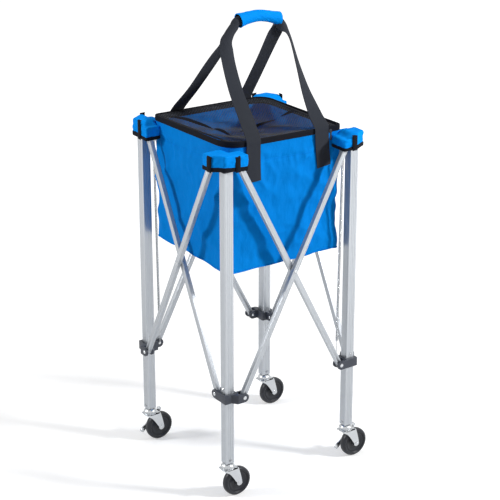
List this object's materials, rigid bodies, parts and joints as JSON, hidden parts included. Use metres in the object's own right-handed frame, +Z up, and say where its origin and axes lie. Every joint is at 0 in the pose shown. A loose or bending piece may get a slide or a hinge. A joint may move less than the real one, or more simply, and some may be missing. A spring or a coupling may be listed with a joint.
{
  "type": "tennis ball hopper",
  "caption": "Folding scissor-frame ball cart on swivel casters, with a lift-off square cloth bag, a zipped net lid and joined carrying handles.",
  "frame": {"origin": "on the floor, under the middle of the cart's outline on the floor plan", "axes": "+Z up, the wall with the front handle faces -Y, +X to its right; the casters trail towards +X"},
  "size_m": [0.493, 0.4642, 1.2355],
  "materials": {
    "aluminium": "satin anodised, drawn",
    "zinc": "bright zinc plated",
    "plastic": "fine moulded grain",
    "tyre": "satin",
    "cloth": "plain woven nylon",
    "webbing": "ribbed webbing",
    "net": "knitted net"
  },
  "bodies": {
    "front_left_leg": {"front_left_leg": "aluminium", "front_left_top_bracket": "plastic", "front_left_caster_stem": "zinc"},
    "front_right_leg": {"front_right_leg": "aluminium", "front_right_top_bracket": "plastic", "front_right_caster_stem": "zinc"},
    "rear_right_leg": {"rear_right_leg": "aluminium", "rear_right_top_bracket": "plastic", "rear_right_caster_stem": "zinc"},
    "rear_left_leg": {"rear_left_leg": "aluminium", "rear_left_top_bracket": "plastic", "rear_left_caster_stem": "zinc"},
    "front_inner_bar": {"front_inner_bar": "aluminium", "front_crossing_rivet": "zinc"},
    "front_outer_bar": {"front_outer_bar": "aluminium"},
    "right_inner_bar": {"right_inner_bar": "aluminium", "right_crossing_rivet": "zinc"},
    "right_outer_bar": {"right_outer_bar": "aluminium"},
    "rear_inner_bar": {"rear_inner_bar": "aluminium", "rear_crossing_rivet": "zinc"},
    "rear_outer_bar": {"rear_outer_bar": "aluminium"},
    "left_inner_bar": {"left_inner_bar": "aluminium", "left_crossing_rivet": "zinc"},
    "left_outer_bar": {"left_outer_bar": "aluminium"},
    "front_left_slider": {"front_left_slider": "plastic"},
    "front_left_lock_button": {"front_left_lock_button": "zinc"},
    "front_left_caster_fork": {"front_left_caster_fork": "zinc"},
    "front_left_wheel": {"front_left_wheel": "tyre"},
    "front_right_slider": {"front_right_slider": "plastic"},
    "front_right_lock_button": {"front_right_lock_button": "zinc"},
    "front_right_caster_fork": {"front_right_caster_fork": "zinc"},
    "front_right_wheel": {"front_right_wheel": "tyre"},
    "rear_right_slider": {"rear_right_slider": "plastic"},
    "rear_right_lock_button": {"rear_right_lock_button": "zinc"},
    "rear_right_caster_fork": {"rear_right_caster_fork": "zinc"},
    "rear_right_wheel": {"rear_right_wheel": "tyre"},
    "rear_left_slider": {"rear_left_slider": "plastic"},
    "rear_left_lock_button": {"rear_left_lock_button": "zinc"},
    "rear_left_caster_fork": {"rear_left_caster_fork": "zinc"},
    "rear_left_wheel": {"rear_left_wheel": "tyre"},
    "front_right_brake_lever": {"front_right_brake_lever": "zinc"},
    "rear_left_brake_lever": {"rear_left_brake_lever": "zinc"},
    "bag_front": {"bag_front_wall": "cloth", "front_left_bag_pocket": "cloth", "bag_bottom": "cloth", "front_handle": "webbing", "handle_wrap": "cloth"},
    "bag_right": {"bag_right_wall": "cloth", "front_right_bag_pocket": "cloth"},
    "bag_rear": {"bag_rear_wall": "cloth", "rear_right_bag_pocket": "cloth", "rear_handle": "webbing"},
    "bag_left": {"bag_left_wall": "cloth", "rear_left_bag_pocket": "cloth"},
    "lid_front": {"lid_front_net": "net"},
    "lid_rear": {"lid_rear_net": "net"},
    "zip_slider": {"zip_slider": "zinc"}
  },
  "joints": [
    {"name": "fold", "type": "hinge", "parent": "front_left_leg", "child": "front_inner_bar", "pos_m": [-0.17585, -0.2009, 0.9143], "axis": [0, 1, 0], "range_deg": [0, 25.32], "deforming": ["bag_front_wall", "bag_right_wall", "bag_rear_wall", "bag_left_wall", "front_left_bag_pocket", "front_right_bag_pocket", "rear_right_bag_pocket", "rear_left_bag_pocket", "bag_bottom", "lid_front_net", "lid_rear_net", "front_handle", "rear_handle", "handle_wrap"]},
    {"name": "front_right_slider_turn", "type": "hinge", "parent": "front_inner_bar", "child": "front_right_slider", "pos_m": [0.14695, -0.2009, 0.2913], "axis": [0, 1, 0], "range_deg": [-25.32, 0]},
    {"name": "front_crossing", "type": "hinge", "parent": "front_inner_bar", "child": "front_outer_bar", "pos_m": [-0.01445, -0.208, 0.6028], "axis": [0, 1, 0], "range_deg": [-50.64, 0]},
    {"name": "front_right_leg_turn", "type": "hinge", "parent": "front_outer_bar", "child": "front_right_leg", "pos_m": [0.14695, -0.2151, 0.9143], "axis": [0, 1, 0], "range_deg": [0, 25.32]},
    {"name": "front_left_slider_turn", "type": "hinge", "parent": "front_outer_bar", "child": "front_left_slider", "pos_m": [-0.17585, -0.2151, 0.2913], "axis": [0, 1, 0], "range_deg": [0, 25.32]},
    {"name": "left_outer_bar_turn", "type": "hinge", "parent": "front_left_leg", "child": "left_outer_bar", "pos_m": [-0.22955, -0.1614, 0.9143], "axis": [-1, 0, 0], "range_deg": [0, 25.32]},
    {"name": "rear_left_slider_turn", "type": "hinge", "parent": "left_outer_bar", "child": "rear_left_slider", "pos_m": [-0.22955, 0.1614, 0.2913], "axis": [-1, 0, 0], "range_deg": [-25.32, 0]},
    {"name": "left_crossing", "type": "hinge", "parent": "left_outer_bar", "child": "left_inner_bar", "pos_m": [-0.22245, 0, 0.6028], "axis": [-1, 0, 0], "range_deg": [-50.64, 0]},
    {"name": "rear_left_leg_turn", "type": "hinge", "parent": "left_inner_bar", "child": "rear_left_leg", "pos_m": [-0.21535, 0.1614, 0.9143], "axis": [-1, 0, 0], "range_deg": [0, 25.32]},
    {"name": "right_inner_bar_turn", "type": "hinge", "parent": "front_right_leg", "child": "right_inner_bar", "pos_m": [0.18645, -0.1614, 0.9143], "axis": [-1, 0, 0], "range_deg": [0, 25.32]},
    {"name": "rear_right_slider_turn", "type": "hinge", "parent": "right_inner_bar", "child": "rear_right_slider", "pos_m": [0.18645, 0.1614, 0.2913], "axis": [-1, 0, 0], "range_deg": [-25.32, 0]},
    {"name": "right_crossing", "type": "hinge", "parent": "right_inner_bar", "child": "right_outer_bar", "pos_m": [0.19355, 0, 0.6028], "axis": [-1, 0, 0], "range_deg": [-50.64, 0]},
    {"name": "rear_right_leg_turn", "type": "hinge", "parent": "right_outer_bar", "child": "rear_right_leg", "pos_m": [0.20065, 0.1614, 0.9143], "axis": [-1, 0, 0], "range_deg": [0, 25.32]},
    {"name": "rear_outer_bar_turn", "type": "hinge", "parent": "rear_left_leg", "child": "rear_outer_bar", "pos_m": [-0.17585, 0.2151, 0.9143], "axis": [0, 1, 0], "range_deg": [0, 25.32]},
    {"name": "rear_crossing", "type": "hinge", "parent": "rear_outer_bar", "child": "rear_inner_bar", "pos_m": [-0.01445, 0.208, 0.6028], "axis": [0, 1, 0], "range_deg": [-50.64, 0]},
    {"name": "bag_lift", "type": "slide", "parent": "front_left_leg", "child": "bag_front", "axis": [0, 0, 1], "range_m": [0, 0.36]},
    {"name": "bag_right_lift", "type": "slide", "parent": "front_right_leg", "child": "bag_right", "axis": [0, 0, 1], "range_m": [0, 0.36]},
    {"name": "bag_rear_lift", "type": "slide", "parent": "rear_right_leg", "child": "bag_rear", "axis": [0, 0, 1], "range_m": [0, 0.36]},
    {"name": "bag_left_lift", "type": "slide", "parent": "rear_left_leg", "child": "bag_left", "axis": [0, 0, 1], "range_m": [0, 0.36]},
    {"name": "lid_open", "type": "hinge", "parent": "bag_rear", "child": "lid_rear", "pos_m": [-0.01445, 0.173, 0.951], "axis": [1, 0, 0], "range_deg": [0, 65]},
    {"name": "lid_front_turn", "type": "hinge", "parent": "bag_front", "child": "lid_front", "pos_m": [-0.01445, 0.173, 0.951], "axis": [1, 0, 0], "range_deg": [0, 65]},
    {"name": "zip_run", "type": "slide", "parent": "bag_right", "child": "zip_slider", "axis": [-1, 0, 0], "range_m": [0, 0.27]},
    {"name": "front_left_button_press", "type": "slide", "parent": "front_left_leg", "child": "front_left_lock_button", "axis": [1, 0, 0], "range_m": [0, 0.0024], "stiffness_N_per_m": 500},
    {"name": "front_left_swivel", "type": "hinge", "parent": "front_left_leg", "child": "front_left_caster_fork", "pos_m": [-0.20845, -0.194, 0.102], "axis": [0, 0, 1], "continuous": true},
    {"name": "front_left_roll", "type": "hinge", "parent": "front_left_caster_fork", "child": "front_left_wheel", "pos_m": [-0.18145, -0.194, 0.04], "axis": [0, 1, 0], "continuous": true},
    {"name": "front_right_button_press", "type": "slide", "parent": "front_right_leg", "child": "front_right_lock_button", "axis": [0, 1, 0], "range_m": [0, 0.0024], "stiffness_N_per_m": 500},
    {"name": "front_right_swivel", "type": "hinge", "parent": "front_right_leg", "child": "front_right_caster_fork", "pos_m": [0.17955, -0.194, 0.102], "axis": [0, 0, 1], "continuous": true},
    {"name": "front_right_roll", "type": "hinge", "parent": "front_right_caster_fork", "child": "front_right_wheel", "pos_m": [0.20655, -0.194, 0.04], "axis": [0, 1, 0], "continuous": true},
    {"name": "front_right_brake", "type": "hinge", "parent": "front_right_caster_fork", "child": "front_right_brake_lever", "pos_m": [0.19054, -0.194, 0.05352], "axis": [0, -1, 0], "range_deg": [0, 12]},
    {"name": "rear_right_button_press", "type": "slide", "parent": "rear_right_leg", "child": "rear_right_lock_button", "axis": [-1, 0, 0], "range_m": [0, 0.0024], "stiffness_N_per_m": 500},
    {"name": "rear_right_swivel", "type": "hinge", "parent": "rear_right_leg", "child": "rear_right_caster_fork", "pos_m": [0.17955, 0.194, 0.102], "axis": [0, 0, 1], "continuous": true},
    {"name": "rear_right_roll", "type": "hinge", "parent": "rear_right_caster_fork", "child": "rear_right_wheel", "pos_m": [0.20655, 0.194, 0.04], "axis": [0, 1, 0], "continuous": true},
    {"name": "rear_left_button_press", "type": "slide", "parent": "rear_left_leg", "child": "rear_left_lock_button", "axis": [0, -1, 0], "range_m": [0, 0.0024], "stiffness_N_per_m": 500},
    {"name": "rear_left_swivel", "type": "hinge", "parent": "rear_left_leg", "child": "rear_left_caster_fork", "pos_m": [-0.20845, 0.194, 0.102], "axis": [0, 0, 1], "continuous": true},
    {"name": "rear_left_roll", "type": "hinge", "parent": "rear_left_caster_fork", "child": "rear_left_wheel", "pos_m": [-0.18145, 0.194, 0.04], "axis": [0, 1, 0], "continuous": true},
    {"name": "rear_left_brake", "type": "hinge", "parent": "rear_left_caster_fork", "child": "rear_left_brake_lever", "pos_m": [-0.19746, 0.194, 0.05352], "axis": [0, -1, 0], "range_deg": [0, 12]}
  ],
  "couplings": [
    {"joint": "front_right_slider_turn", "follows": "fold", "ratio": -1},
    {"joint": "front_crossing", "follows": "fold", "ratio": -2},
    {"joint": "front_right_leg_turn", "follows": "fold", "ratio": 1},
    {"joint": "front_left_slider_turn", "follows": "fold", "ratio": 1},
    {"joint": "left_outer_bar_turn", "follows": "fold", "ratio": 1},
    {"joint": "rear_left_slider_turn", "follows": "fold", "ratio": -1},
    {"joint": "left_crossing", "follows": "fold", "ratio": -2},
    {"joint": "rear_left_leg_turn", "follows": "fold", "ratio": 1},
    {"joint": "right_inner_bar_turn", "follows": "fold", "ratio": 1},
    {"joint": "rear_right_slider_turn", "follows": "fold", "ratio": -1},
    {"joint": "right_crossing", "follows": "fold", "ratio": -2},
    {"joint": "rear_right_leg_turn", "follows": "fold", "ratio": 1},
    {"joint": "rear_outer_bar_turn", "follows": "fold", "ratio": 1},
    {"joint": "rear_crossing", "follows": "fold", "ratio": -2},
    {"joint": "bag_right_lift", "follows": "bag_lift", "ratio": 1},
    {"joint": "bag_rear_lift", "follows": "bag_lift", "ratio": 1},
    {"joint": "bag_left_lift", "follows": "bag_lift", "ratio": 1},
    {"joint": "lid_front_turn", "follows": "lid_open", "ratio": 1}
  ]
}
